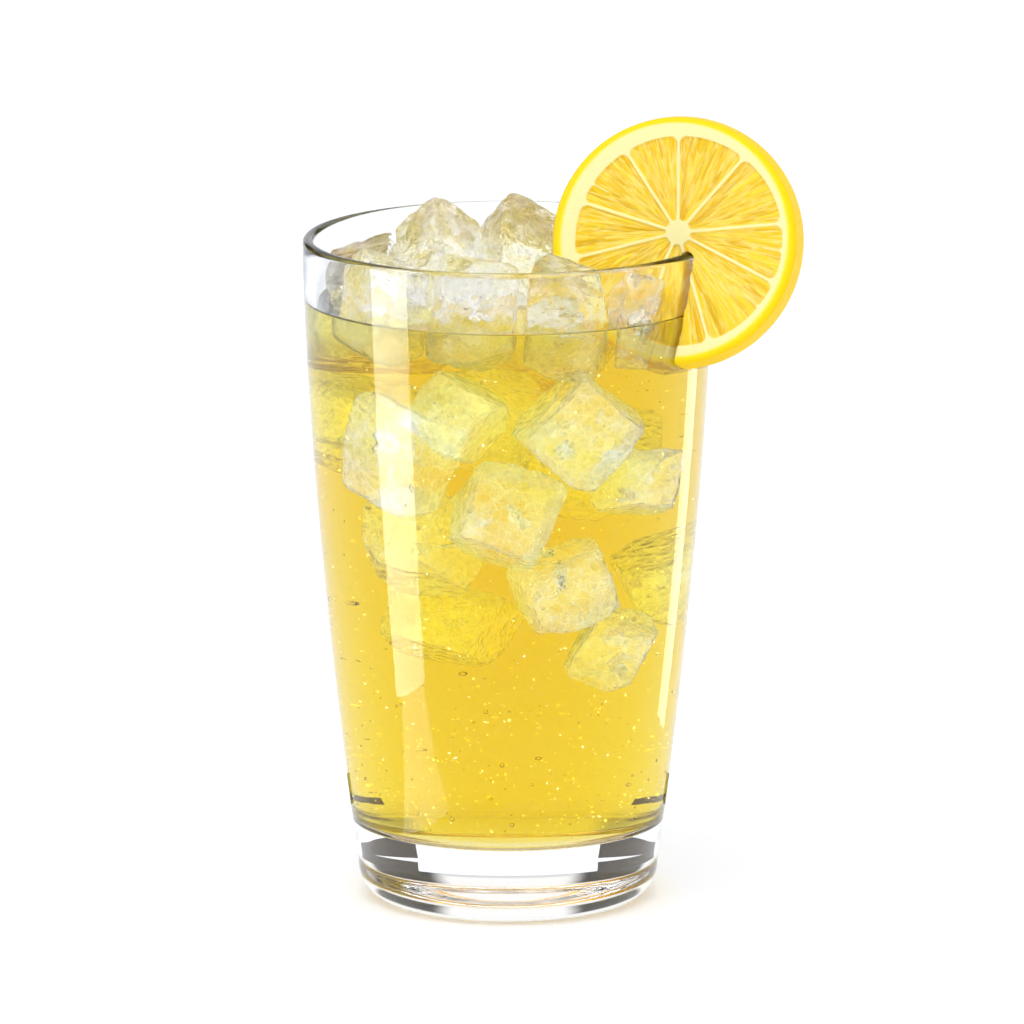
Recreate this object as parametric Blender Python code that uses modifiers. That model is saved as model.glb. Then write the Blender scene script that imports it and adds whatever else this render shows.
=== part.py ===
"""A tumbler of iced lemonade with a lemon wheel hooked on its rim.

Metres, +Z up. The origin is the middle of the tumbler's flat underside, and -Y is the front.
"""

import math
import random

import bmesh
import bpy
from mathutils import Matrix, Vector

# The tumbler: a pressed glass whose wall curves gently in towards a thick foot
HEIGHT = 0.1442
RIM_RADIUS = 0.0440
FOOT_RADIUS = 0.0314  # where the wall's curve would meet the table without the heel
WALL_CURVE = 1.6  # 1 is a straight cone
RIM_WALL = 0.0024
FLOOR_WALL = 0.0030
FLOOR_HEIGHT = 0.0163
FLOOR_CORNER = 0.0045
HEEL_HEIGHT = 0.0075
UNDERSIDE_RADIUS = 0.0276
TURN_STEPS = 56

# The drink
LEVEL = 0.1303
MENISCUS_RISE = 0.0008
MENISCUS_WIDTH = 0.0030
FIT_GAP = 0.0003  # between two solids that touch

# The ice
MM = 0.001
ICE_BEVEL = 0.0024
ICE_APART = 0.0016  # between two blocks, and from a block to the wall
ICE_NEAR = 0.040  # blocks whose middles are further apart than this can't meet
ICE_SHORTEST_EDGE = 0.0006
ICE_TO_SLICE = 0.0008
WALL_FLATS = 20  # the planes that keep a block clear of the round wall
WALL_FLAT_REACH = 0.015  # they follow the wall this far above and below a block's middle
CORNER_MELT = (0.66, 0.84)  # where a corner is cut, as a share of the way to it
TOP_CORNER_MELT = 0.90
MELT_LEAN = 0.3  # how unevenly a corner melts
ICE_SEED = 700

# The lemon wheel: its own axes are X across, Y up and Z out of the front face
SLICE_RADIUS = 0.0271
SLICE_THICKNESS = 0.0060
SLICE_TAPER = 0.0007  # the back face's radius, less the front's
PEEL_ROUNDING = 0.0009
SLICE_PLACE = Vector((0.0358, -0.0158, 0.1459))
SLICE_TURN = math.radians(12)  # its right edge stands nearer the front
SLICE_LEAN = math.radians(16)  # its top leans back
FLESH_RADIUS = 0.0224
FLESH_PLACE = Vector((0.0010, 0.0))
SHOULDER = 0.80  # where a segment's outer corners start to round, as a share of its length
ROUNDNESS = 0.5  # the power that squares the corners: 1 is a half circle
CORE_RADIUS = 0.0026
SEGMENT_TIP = 0.0030  # from the core's middle to the corners of a segment's blunt tip
CORE_PLACE = Vector((0.0008, 0.0018))  # the core is a little above the middle
MEMBRANE = 0.0007
NARROWEST = 0.02  # radians, half the width of a segment's tip
RELIEF = 0.0005  # the flesh lies this far under the pith
MEMBRANE_ANGLES = (93, 126, 165, 196, 248, 289, 335, 367, 411)  # degrees, anticlockwise


def outer_radius(z):
    """The tumbler's outer radius at height z, without its heel."""
    return RIM_RADIUS - (RIM_RADIUS - FOOT_RADIUS) * max(1 - z / HEIGHT, 0) ** WALL_CURVE


def inner_radius(z):
    """The radius of the tumbler's inside at height z, without its floor's corner."""
    share = min(max((z - FLOOR_HEIGHT) / (HEIGHT - FLOOR_HEIGHT), 0), 1)
    return outer_radius(z) - FLOOR_WALL - (RIM_WALL - FLOOR_WALL) * share


def steps(first, last, count):
    """Evenly spaced numbers from first to last."""
    return [first + (last - first) * i / (count - 1) for i in range(count)]


def arc(middle_r, middle_z, width, height, first, last, count):
    """Points of an elliptical arc in a profile, its angles in degrees from +R towards +Z."""
    angles = [math.radians(a) for a in steps(first, last, count)]
    return [(middle_r + width * math.cos(a), middle_z + height * math.sin(a)) for a in angles]


def make_material(name, colour, roughness, see_through=0.0):
    material = bpy.data.materials.new(name)
    material.use_nodes = True
    shader = material.node_tree.nodes["Principled BSDF"]
    shader.inputs["Base Color"].default_value = (*colour, 1)
    shader.inputs["Roughness"].default_value = roughness
    shader.inputs["Metallic"].default_value = 0
    shader.inputs["Transmission Weight"].default_value = see_through
    return material


def add_object(name, data, collection, material=None):
    found = bpy.data.objects.new(name, data)
    collection.objects.link(found)
    if material:
        data.materials.append(material)
    return found


def as_cutter(found):
    found.hide_render = True
    found.display_type = "WIRE"
    return found


def cut(target, cutter, solver="EXACT"):
    modifier = target.modifiers.new("cut by " + cutter.name, "BOOLEAN")
    modifier.operation = "DIFFERENCE"
    modifier.solver = solver
    modifier.object = cutter


def turned(name, profile, collection, material=None, ring=False):
    """A solid turned about Z. The profile runs down its outer side, and a ring's profile closes on itself."""
    count = len(profile)
    edges = [(i, i + 1) for i in range(count - 1)]
    if ring:
        edges.append((count - 1, 0))
    mesh = bpy.data.meshes.new(name)
    mesh.from_pydata([(r, 0, z) for r, z in profile], edges, [])
    found = add_object(name, mesh, collection, material)
    screw = found.modifiers.new("turn", "SCREW")
    screw.steps = TURN_STEPS
    screw.render_steps = TURN_STEPS
    screw.use_merge_vertices = True
    screw.merge_threshold = 0.00001
    screw.use_smooth_shade = True
    return found


def wall_profile(grown, bottom):
    """The closed outline of the tumbler's wall above a height, made thicker by grown on each side."""
    lip = RIM_WALL / 2
    heights = steps(bottom, HEIGHT - lip, 5)
    inside = [(inner_radius(z) - grown, z) for z in heights]
    top = arc(RIM_RADIUS - lip, HEIGHT - lip, lip + grown, lip + grown, 150, 30, 5)
    outside = [(outer_radius(z) + grown, z) for z in reversed(heights)]
    return inside + top + outside


def make_tumbler(collection, material):
    corner_z = FLOOR_HEIGHT + FLOOR_CORNER
    corner_r = inner_radius(corner_z) - FLOOR_CORNER
    lip = RIM_WALL / 2
    floor = [(0, FLOOR_HEIGHT), (corner_r * 0.5, FLOOR_HEIGHT)]
    corner = arc(corner_r, corner_z, FLOOR_CORNER, FLOOR_CORNER, -90, 0, 4)
    inside = [(inner_radius(z), z) for z in steps(corner_z, HEIGHT - lip, 6)[1:]]
    rim = arc(RIM_RADIUS - lip, HEIGHT - lip, lip, lip, 150, 30, 5)
    outside = [(outer_radius(z), z) for z in steps(HEIGHT - lip, HEEL_HEIGHT, 7)]
    heel_width = outer_radius(HEEL_HEIGHT) - UNDERSIDE_RADIUS
    heel = arc(UNDERSIDE_RADIUS, HEEL_HEIGHT, heel_width, HEEL_HEIGHT, 0, -90, 5)[1:]
    profile = floor + corner + inside + rim + outside + heel + [(0, 0)]
    return turned("tumbler", profile, collection, material)


def drink_profile():
    """From the middle of the surface, over the meniscus and down the inside of the tumbler."""
    corner_z = FLOOR_HEIGHT + FLOOR_CORNER
    corner_r = inner_radius(corner_z) - FLOOR_CORNER
    edge = inner_radius(LEVEL) - FIT_GAP
    surface = [(0, LEVEL), (edge - MENISCUS_WIDTH, LEVEL)]
    meniscus = arc(edge - MENISCUS_WIDTH, LEVEL + MENISCUS_RISE, MENISCUS_WIDTH, MENISCUS_RISE, -60, 0, 3)
    side = [(inner_radius(z) - FIT_GAP, z) for z in steps(LEVEL, corner_z, 5)[1:]]
    round_corner = FLOOR_CORNER - FIT_GAP
    corner = arc(corner_r, corner_z, round_corner, round_corner, 0, -90, 4)[1:]
    return surface + meniscus + side + corner + [(0, FLOOR_HEIGHT + FIT_GAP)]


def slice_matrix():
    """The lemon wheel's place: X across it, Y up it and Z out of its front face."""
    across = Vector((math.cos(SLICE_TURN), -math.sin(SLICE_TURN), 0))
    upright = Vector((0, 0, 1))
    level_face = across.cross(upright)
    face = level_face * math.cos(SLICE_LEAN) + upright * math.sin(SLICE_LEAN)
    up = face.cross(across)
    turn = Matrix((across, up, face)).transposed().to_4x4()
    return Matrix.Translation(SLICE_PLACE) @ turn


def disc_profile(grown):
    """The lemon wheel's outline, from the middle of its front over the peel to the middle of its back."""
    half = SLICE_THICKNESS / 2 + grown
    front = SLICE_RADIUS - SLICE_TAPER + grown
    back = SLICE_RADIUS + grown
    rounding = PEEL_ROUNDING
    front_edge = arc(front - rounding, half - rounding, rounding, rounding, 90, 10, 3)
    back_edge = arc(back - rounding, rounding - half, rounding, rounding, -10, -90, 3)
    return [(0, half)] + front_edge + back_edge + [(0, -half)]


def reach_from_core(angle):
    """How far the flesh reaches from the core in one direction."""
    away = Vector((math.cos(angle), math.sin(angle)))
    offset = CORE_PLACE - FLESH_PLACE
    along = offset.dot(away)
    return -along + math.sqrt(along**2 - offset.length_squared + FLESH_RADIUS**2)


def segment_outline(first, last):
    """One segment of flesh: a wedge with a blunt tip at the core and round shoulders at the pith."""
    middle, half = math.radians((first + last) / 2), math.radians((last - first) / 2)
    outline = []
    for turn in steps(-90, 90, 11):
        turn = math.radians(turn)
        across = math.copysign(abs(math.sin(turn)) ** ROUNDNESS, turn)
        reach = reach_from_core(middle + across * half)
        shoulder = reach * SHOULDER
        outline.append((across, shoulder + (reach - shoulder) * abs(math.cos(turn)) ** ROUNDNESS))
    outline += [(1, SEGMENT_TIP), (0, CORE_RADIUS), (-1, SEGMENT_TIP)]
    points = []
    for across, reach in outline:
        narrowed = max(half - math.asin(MEMBRANE / 2 / reach), NARROWEST)
        angle = middle + across * narrowed
        points.append(CORE_PLACE + reach * Vector((math.cos(angle), math.sin(angle))))
    return points


def flesh_cutter(name, z, collection):
    """All the segments as one flat set of prisms about height z of the lemon wheel."""
    curve = bpy.data.curves.new(name, "CURVE")
    curve.dimensions = "2D"
    curve.fill_mode = "BOTH"
    curve.extrude = RELIEF
    turns = list(MEMBRANE_ANGLES) + [MEMBRANE_ANGLES[0] + 360]
    for first, last in zip(turns[:-1], turns[1:]):
        points = segment_outline(first, last)
        spline = curve.splines.new("POLY")
        spline.points.add(len(points) - 1)
        for place, point in zip(spline.points, points):
            place.co = (point.x, point.y, 0, 1)
        spline.use_cyclic_u = True
    drawn = add_object(name + " outline", curve, collection)
    bpy.context.view_layer.update()
    graph = bpy.context.evaluated_depsgraph_get()
    mesh = bpy.data.meshes.new_from_object(drawn.evaluated_get(graph))
    bpy.data.objects.remove(drawn)
    welded = bmesh.new()
    welded.from_mesh(mesh)
    bmesh.ops.remove_doubles(welded, verts=welded.verts, dist=0.000005)
    bmesh.ops.recalc_face_normals(welded, faces=welded.faces)
    welded.to_mesh(mesh)
    welded.free()
    cutter = as_cutter(add_object(name, mesh, collection))
    cutter.matrix_world = slice_matrix() @ Matrix.Translation((0, 0, z))
    return cutter


def make_slice(collection, cutters, material):
    """A lemon wheel with sunk flesh, slit from below to its middle by the wall that it sits on."""
    wheel = turned("lemon_slice", disc_profile(0), collection, material)
    wheel.matrix_world = slice_matrix()
    for name, side in (("flesh front", 1), ("flesh back", -1)):
        cut(wheel, flesh_cutter(name, side * SLICE_THICKNESS / 2, cutters))
    slit = turned("slit", wall_profile(FIT_GAP, LEVEL - 0.020), cutters, ring=True)
    cut(wheel, as_cutter(slit))
    return wheel


def ice_heap():
    """The floating blocks: name, middle, size and turn, in millimetres and degrees."""
    return (
        ("ice_front_left", (-24.5, -20.5, 132.0), (19, 18, 20), (14, 20, 40)),
        ("ice_front_middle", (-6.5, -27.0, 133.0), (20, 17, 22), (-12, 10, 8)),
        ("ice_front_right", (11.5, -27.5, 131.5), (19, 17, 20), (16, 18, -12)),
        ("ice_by_slice", (28.0, -25.5, 130.5), (14, 14, 20), (-10, 16, 38)),
        ("ice_left", (-28.5, 3.0, 131.0), (20, 19, 20), (6, -16, 8)),
        ("ice_peak_left", (-15.0, 0.0, 137.0), (20, 20, 20), (45, 35, 20)),
        ("ice_peak_middle", (2.5, 7.5, 133.0), (24, 25, 24), (42, -33, 68)),
        ("ice_right", (29.5, 8.5, 130.0), (20, 21, 20), (10, 24, -15)),
        ("ice_back_left", (-17.5, 25.0, 124.0), (21, 19, 19), (-20, 14, 28)),
        ("ice_back_middle", (4.0, 29.5, 122.5), (20, 18, 21), (16, 28, -8)),
        ("ice_back_right", (22.5, 27.0, 124.0), (18, 17, 20), (-24, -12, 46)),
    )


def trim(block, point, normal):
    """Cuts off what lies past a plane and closes the block again."""
    geometry = list(block.verts) + list(block.edges) + list(block.faces)
    done = bmesh.ops.bisect_plane(
        block, geom=geometry, plane_co=point, plane_no=normal, dist=1e-7, clear_outer=True
    )
    rim = [e for e in done["geom_cut"] if isinstance(e, bmesh.types.BMEdge)]
    if len(rim) > 2:
        bmesh.ops.edgenet_fill(block, edges=rim)


def ice_block(number, heap, chance):
    """One melted cube, kept clear of its neighbours, the wall and the lemon wheel."""
    _, middle, size, turn = heap[number]
    middle = Vector(middle) * MM
    spin = Matrix.Rotation(math.radians(turn[2]), 3, "Z")
    spin = spin @ Matrix.Rotation(math.radians(turn[1]), 3, "Y")
    spin = spin @ Matrix.Rotation(math.radians(turn[0]), 3, "X")
    block = bmesh.new()
    bmesh.ops.create_cube(block, size=MM)
    bmesh.ops.scale(block, vec=size, verts=block.verts)
    bmesh.ops.rotate(block, cent=(0, 0, 0), matrix=spin, verts=block.verts)
    bmesh.ops.translate(block, vec=middle, verts=block.verts)
    corners = sorted((v.co.copy() for v in block.verts), key=lambda corner: corner.z)
    for corner in corners:
        away = corner - middle
        share = TOP_CORNER_MELT if corner is corners[-1] else chance.uniform(*CORNER_MELT)
        lean = Vector([chance.uniform(-MELT_LEAN, MELT_LEAN) for _ in range(3)])
        trim(block, middle + away * share, (away.normalized() + lean).normalized())
    for other, (_, place, their_size, _) in enumerate(heap):
        apart = Vector(place) * MM - middle
        if other == number or apart.length > ICE_NEAR:
            continue
        share = sum(size) / (sum(size) + sum(their_size))
        edge = apart.length * share - ICE_APART / 2
        trim(block, middle + apart.normalized() * edge, apart.normalized())
    keep_inside_wall(block, middle)
    keep_off_slice(block, middle)
    return block


def keep_inside_wall(block, middle):
    """Trims the block with flats just inside the round wall."""
    low, high = middle.z - WALL_FLAT_REACH, middle.z + WALL_FLAT_REACH
    flat_share = math.cos(math.pi / WALL_FLATS)
    for i in range(WALL_FLATS):
        angle = 2 * math.pi * i / WALL_FLATS
        outward = Vector((math.cos(angle), math.sin(angle), 0))
        if outward.dot(middle) < 0:
            continue
        low_r, high_r = ((inner_radius(z) - ICE_APART) * flat_share for z in (low, high))
        rise = outward * (high_r - low_r) + Vector((0, 0, high - low))
        along = Vector((-outward.y, outward.x, 0))
        trim(block, outward * low_r + Vector((0, 0, low)), along.cross(rise).normalized())


def keep_off_slice(block, middle):
    """Trims a block that would reach into the lemon wheel, along the face that it stands beside."""
    inverse = slice_matrix().inverted()
    side = 1 if (inverse @ middle).z > 0 else -1
    clear = SLICE_THICKNESS / 2 + ICE_TO_SLICE
    seen = [inverse @ v.co for v in block.verts]
    if any(p.z * side < clear and p.xy.length < SLICE_RADIUS + ICE_BEVEL for p in seen):
        normal = slice_matrix().to_3x3() @ Vector((0, 0, -side))
        trim(block, slice_matrix() @ Vector((0, 0, side * clear)), normal)


def make_ice(collection, cutters, material):
    """Every floating block, and a slightly larger cutter for its pocket in the drink."""
    heap = ice_heap()
    pockets = []
    for number, (name, _, _, _) in enumerate(heap):
        block = ice_block(number, heap, random.Random(ICE_SEED + number))
        bmesh.ops.remove_doubles(block, verts=block.verts, dist=ICE_SHORTEST_EDGE)
        bmesh.ops.dissolve_degenerate(block, edges=block.edges, dist=ICE_SHORTEST_EDGE)
        middle = sum((v.co for v in block.verts), Vector()) / len(block.verts)
        bmesh.ops.translate(block, vec=-middle, verts=block.verts)
        bmesh.ops.recalc_face_normals(block, faces=block.faces)
        block.normal_update()
        nearest_face = min(f.calc_center_median().dot(f.normal) for f in block.faces)
        mesh = bpy.data.meshes.new(name)
        block.to_mesh(mesh)
        block.free()
        cube = add_object(name, mesh, collection, material)
        cutter = as_cutter(add_object(name + " pocket", mesh.copy(), cutters))
        for found in (cube, cutter):
            found.location = middle
            bevel = found.modifiers.new("melted edges", "BEVEL")
            bevel.width = ICE_BEVEL
            bevel.segments = 1
            bevel.limit_method = "NONE"
            bevel.use_clamp_overlap = True
        cutter.scale = [1 + FIT_GAP / nearest_face] * 3
        pockets.append(cutter)
    return pockets


def make_lemonade(collection, cutters, material, pockets):
    """The drink up to its level, with a pocket round each block of ice and round the lemon wheel."""
    drink = turned("lemonade", drink_profile(), collection, material)
    for pocket in pockets:
        cut(drink, pocket, "MANIFOLD")  # the exact solver loses the drink here
    wheel = as_cutter(turned("slice pocket", disc_profile(FIT_GAP), cutters))
    wheel.matrix_world = slice_matrix()
    cut(drink, wheel, "MANIFOLD")
    return drink


def main():
    for found in list(bpy.data.objects):
        bpy.data.objects.remove(found)
    scene = bpy.context.scene
    parts = bpy.data.collections.new("glass of lemonade")
    cutters = bpy.data.collections.new("cutters")
    scene.collection.children.link(parts)
    scene.collection.children.link(cutters)
    clear_glass = make_material("clear glass", (0.95, 0.97, 0.97), 0.02, 1.0)
    lemonade = make_material("lemonade", (0.98, 0.80, 0.16), 0.05, 0.8)
    clear_ice = make_material("ice", (0.95, 0.95, 0.90), 0.12, 0.7)
    lemon = make_material("lemon", (0.96, 0.72, 0.10), 0.45)
    make_tumbler(parts, clear_glass)
    pockets = make_ice(parts, cutters, clear_ice)
    make_lemonade(parts, cutters, lemonade, pockets)
    make_slice(parts, cutters, lemon)


main()
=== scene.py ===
"""A tumbler of iced lemonade with a lemon wheel hooked on its rim, finished for the camera.

Metres, +Z up. The origin is the middle of the tumbler's flat underside, and -Y is the front.
"""

import math
import random

import bmesh
import bpy
import numpy as np
from mathutils import Matrix, Vector, noise
from mathutils.bvhtree import BVHTree


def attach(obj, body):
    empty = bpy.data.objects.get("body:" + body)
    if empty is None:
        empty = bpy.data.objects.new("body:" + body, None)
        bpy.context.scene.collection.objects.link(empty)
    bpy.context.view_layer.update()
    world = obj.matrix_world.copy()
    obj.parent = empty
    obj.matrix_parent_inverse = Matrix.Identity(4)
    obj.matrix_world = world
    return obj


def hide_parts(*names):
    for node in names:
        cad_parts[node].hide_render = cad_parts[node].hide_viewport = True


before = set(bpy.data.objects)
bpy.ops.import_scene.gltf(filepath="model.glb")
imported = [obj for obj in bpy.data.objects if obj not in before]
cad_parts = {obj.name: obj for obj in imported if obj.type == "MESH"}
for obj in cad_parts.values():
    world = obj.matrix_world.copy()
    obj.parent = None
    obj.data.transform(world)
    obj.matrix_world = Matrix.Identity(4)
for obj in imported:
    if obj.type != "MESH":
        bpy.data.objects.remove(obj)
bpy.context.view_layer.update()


# The tumbler. Plain soda-lime glass, pressed in a mould with a thick foot. Its rim is melted
# round with a flame, and its underside is pressed a little hollow, so that it stands on a ring.
MM = 0.001
HEIGHT = 144.2 * MM
RIM_RADIUS = 44.0 * MM
FOOT_RADIUS = 31.4 * MM
WALL_CURVE = 1.6  # 1 is a straight cone
RIM_WALL = 2.4 * MM
FLOOR_WALL = 3.0 * MM
FLOOR_HEIGHT = 16.3 * MM
FLOOR_CORNER = 4.5 * MM
HEEL_HEIGHT = 7.5 * MM
UNDERSIDE_RADIUS = 27.6 * MM
STANDING_RING = 25.5 * MM
HOLLOW = 1.2 * MM  # how high the underside is pressed up in its middle
TURNS = 160
GLASS_BENDS_LIGHT = 1.50


def outer_radius(z):
    """The tumbler's outer radius at height z, without its heel."""
    return RIM_RADIUS - (RIM_RADIUS - FOOT_RADIUS) * max(1 - z / HEIGHT, 0) ** WALL_CURVE


def inner_radius(z):
    """The radius of the tumbler's inside at height z, without its floor's corner."""
    share = min(max((z - FLOOR_HEIGHT) / (HEIGHT - FLOOR_HEIGHT), 0), 1)
    return outer_radius(z) - FLOOR_WALL - (RIM_WALL - FLOOR_WALL) * share


def arc(middle_r, middle_z, width, height, first, last, count):
    """Points of an elliptical arc in a profile, its angles in degrees from +R towards +Z."""
    angles = np.radians(np.linspace(first, last, count))
    return [(middle_r + width * math.cos(a), middle_z + height * math.sin(a)) for a in angles]


def turned_mesh(name, profile):
    """A closed mesh turned about Z from a profile that starts and ends on the axis."""
    made = bmesh.new()
    rings = []
    for r, z in profile[1:-1]:
        angles = np.linspace(0, 2 * math.pi, TURNS, endpoint=False)
        rings.append([made.verts.new((r * math.cos(a), r * math.sin(a), z)) for a in angles])
    first = made.verts.new((0, 0, profile[0][1]))
    last = made.verts.new((0, 0, profile[-1][1]))
    for i in range(TURNS):
        j = (i + 1) % TURNS
        made.faces.new((first, rings[0][i], rings[0][j]))
        for upper, lower in zip(rings[:-1], rings[1:]):
            made.faces.new((upper[i], lower[i], lower[j], upper[j]))
        made.faces.new((rings[-1][i], last, rings[-1][j]))
    bmesh.ops.recalc_face_normals(made, faces=made.faces)
    for face in made.faces:
        face.smooth = True
    mesh = bpy.data.meshes.new(name)
    made.to_mesh(mesh)
    made.free()
    return mesh


def add_piece(name, mesh, material=None):
    """Puts a mesh in the scene under this name, in this material."""
    piece = bpy.data.objects.new(name, mesh)
    bpy.context.scene.collection.objects.link(piece)
    if material:
        mesh.materials.clear()
        mesh.materials.append(material)
    return piece


def add_node(material, kind, **values):
    """A shader node with the given properties and, by name, unlinked inputs."""
    node = material.node_tree.nodes.new(kind)
    for name, value in values.items():
        label = name.replace("_", " ")
        if label in node.inputs:
            node.inputs[label].default_value = value
        else:
            setattr(node, name, value)
    return node


def new_material(name, colour, roughness, bends_light, see_through=0.0):
    """A material with one Principled shader, and that shader."""
    material = bpy.data.materials.new(name)
    material.use_nodes = True
    shader = material.node_tree.nodes["Principled BSDF"]
    shader.inputs["Base Color"].default_value = (*colour, 1)
    shader.inputs["Roughness"].default_value = roughness
    shader.inputs["IOR"].default_value = bends_light
    shader.inputs["Transmission Weight"].default_value = see_through
    return material, shader


def tumbler_profile():
    """From the middle of the floor up the inside, over the rim, down the outside and under."""
    corner_z = FLOOR_HEIGHT + FLOOR_CORNER
    corner_r = inner_radius(corner_z) - FLOOR_CORNER
    lip = RIM_WALL / 2
    floor = [(r, FLOOR_HEIGHT) for r in np.linspace(0, corner_r, 12)[:-1]]
    corner = arc(corner_r, corner_z, FLOOR_CORNER, FLOOR_CORNER, -90, 0, 14)
    inside = [(inner_radius(z), z) for z in np.linspace(corner_z, HEIGHT - lip, 60)[1:]]
    rim = arc(RIM_RADIUS - lip, HEIGHT - lip, lip, lip, 170, 10, 15)
    outside = [(outer_radius(z), z) for z in np.linspace(HEIGHT - lip, HEEL_HEIGHT, 66)]
    heel_width = outer_radius(HEEL_HEIGHT) - UNDERSIDE_RADIUS
    heel = arc(UNDERSIDE_RADIUS, HEEL_HEIGHT, heel_width, HEEL_HEIGHT, 0, -90, 22)[1:]
    under = []
    for r in np.linspace(STANDING_RING, 0, 20):
        share = 1 - (r / STANDING_RING) ** 2
        under.append((r, HOLLOW * share * share * (3 - 2 * share)))
    return floor + corner + inside + rim + outside + heel + under


clear_glass, glass_shader = new_material("clear glass", (1, 1, 1), 0.0, GLASS_BENDS_LIGHT, 1.0)
glass_shader.inputs["Specular Tint"].default_value = (0.45, 0.45, 0.45, 1)
ripple = add_node(clear_glass, "ShaderNodeTexNoise", Scale=38.0, Detail=1.0)
ripple_place = add_node(clear_glass, "ShaderNodeTexCoord")
ripple_bump = add_node(clear_glass, "ShaderNodeBump", Strength=0.04, Distance=0.002)
clear_glass.node_tree.links.new(ripple_place.outputs["Object"], ripple.inputs["Vector"])
clear_glass.node_tree.links.new(ripple.outputs["Fac"], ripple_bump.inputs["Height"])
clear_glass.node_tree.links.new(ripple_bump.outputs["Normal"], glass_shader.inputs["Normal"])

tumbler = add_piece("clear_tumbler", turned_mesh("clear_tumbler", tumbler_profile()), clear_glass)
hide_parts("tumbler")
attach(tumbler, "root")


# The ice. Cubes of frozen water, half melted: round-edged, dented and cracked, with trapped air
# that clouds them white, helped by a painted glow that stands in for the light this air scatters.
# Eleven float heaped above the level, and the rest hang in the drink.
ICE_CELL = 0.55 * MM
BROAD_DENT = 0.9 * MM
BROAD_DENT_WIDTH = 6.5 * MM
FINE_DENT = 0.30 * MM
FINE_DENT_WIDTH = 2.0 * MM
ICE_BENDS_LIGHT = 1.31
CRACKS = 5  # in a block
AIR_BUBBLES = 20  # in a block
ICE_TO_WALL = 0.9 * MM
FLOATING_GLOW_COLOUR = (1.0, 0.93, 0.82)  # painted glow: emission that stands in for the light that air too fine to model scatters
FLOATING_GLOW_STRENGTH = 0.004
SUNK_GLOW_COLOUR = (0.48, 0.62, 1.0)  # painted glow as above, before the drink in front of it takes out the blue
SUNK_GLOW_STRENGTH = 0.062
CLOUD_SCALE = 230.0  # per metre, as the next two
CRACKLE_SCALE = 420.0
PIT_SCALE = 900.0
SUNK_ICE = (  # middle, size and turn, in millimetres and degrees
    ((-22.0, -22.5, 101.5), (19, 17, 23), (12, 20, 35)),
    ((-9.5, -22.0, 110.5), (15, 14, 15), (30, 12, 60)),
    ((14.0, -24.5, 107.5), (19, 17, 19), (10, 43, 20)),
    ((-0.5, -25.0, 90.0), (18, 16, 19), (-18, 22, 10)),
    ((11.0, -23.0, 73.5), (18, 16, 15), (14, -20, 15)),
    ((25.0, -15.0, 95.0), (16, 15, 13), (-10, 12, 50)),
    ((-4.0, -6.0, 108.0), (17, 17, 17), (35, 10, 30)),
    ((19.5, -14.0, 58.5), (14, 14, 15), (20, 30, 10)),
    ((-15.5, -12.0, 82.0), (19, 16, 18), (-14, 30, 40)),
    ((25.0, 10.0, 70.0), (16, 16, 16), (25, -18, 15)),
    ((-9.0, 6.0, 62.0), (17, 16, 15), (10, 25, 65)),
    ((10.0, 14.0, 96.0), (19, 19, 18), (30, 15, 20)),
    ((-20.0, 14.0, 103.0), (19, 17, 18), (-25, 20, 5)),
)


def add_spread(material, value, low, high, to_low=0.0, to_high=1.0):
    """A number that goes from to_low to to_high while the value goes from low to high."""
    node = add_node(material, "ShaderNodeMapRange", From_Min=low, From_Max=high)
    node.inputs["To Min"].default_value = to_low
    node.inputs["To Max"].default_value = to_high
    material.node_tree.links.new(value, node.inputs["Value"])
    return node.outputs["Result"]


def ice_material(name, cloud_colour, painted_glow):
    """Clear wet ice with a crackled skin, and a painted glow that stands in for the light its white
    clouds of air scatter.
    """
    material, shader = new_material(name, (1, 1, 1), 0.05, ICE_BENDS_LIGHT, 1.0)
    # Painted glow: the ice emits the colour given, as if lit by light its air scatters.
    shader.inputs["Emission Color"].default_value = (*cloud_colour, 1)
    links = material.node_tree.links
    place = add_node(material, "ShaderNodeTexCoord")
    frost = add_node(material, "ShaderNodeTexNoise", Scale=CLOUD_SCALE, Detail=6.0, Roughness=0.7)
    links.new(place.outputs["Object"], frost.inputs["Vector"])
    crackle = add_node(
        material, "ShaderNodeTexVoronoi", feature="DISTANCE_TO_EDGE", Scale=CRACKLE_SCALE
    )
    links.new(place.outputs["Object"], crackle.inputs["Vector"])
    rough = add_spread(material, frost.outputs["Fac"], 0.40, 0.65, 0.0, 0.16)
    links.new(rough, shader.inputs["Roughness"])
    clear = add_spread(material, frost.outputs["Fac"], 0.44, 0.66, 1.0, 0.66)
    links.new(clear, shader.inputs["Transmission Weight"])
    # Painted glow: more emission in frosty patches and along the crackle's seams.
    haze_glow = add_spread(
        material, frost.outputs["Fac"], 0.42, 0.66, painted_glow * 0.4, painted_glow * 2.0
    )
    seam_glow = add_spread(material, crackle.outputs["Distance"], 0.16, 0.0, 0.0, painted_glow * 2)
    cloud = add_node(material, "ShaderNodeMath", operation="ADD")
    links.new(haze_glow, cloud.inputs[0])
    links.new(seam_glow, cloud.inputs[1])
    links.new(cloud.outputs["Value"], shader.inputs["Emission Strength"])
    pits = add_node(material, "ShaderNodeTexNoise", Scale=PIT_SCALE, Detail=3.0)
    links.new(place.outputs["Object"], pits.inputs["Vector"])
    skin = add_node(material, "ShaderNodeMath", operation="ADD")
    links.new(crackle.outputs["Distance"], skin.inputs[0])
    links.new(pits.outputs["Fac"], skin.inputs[1])
    bump = add_node(material, "ShaderNodeBump", Strength=0.5, Distance=0.0005)
    links.new(skin.outputs["Value"], bump.inputs["Height"])
    links.new(bump.outputs["Normal"], shader.inputs["Normal"])
    return material


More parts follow.
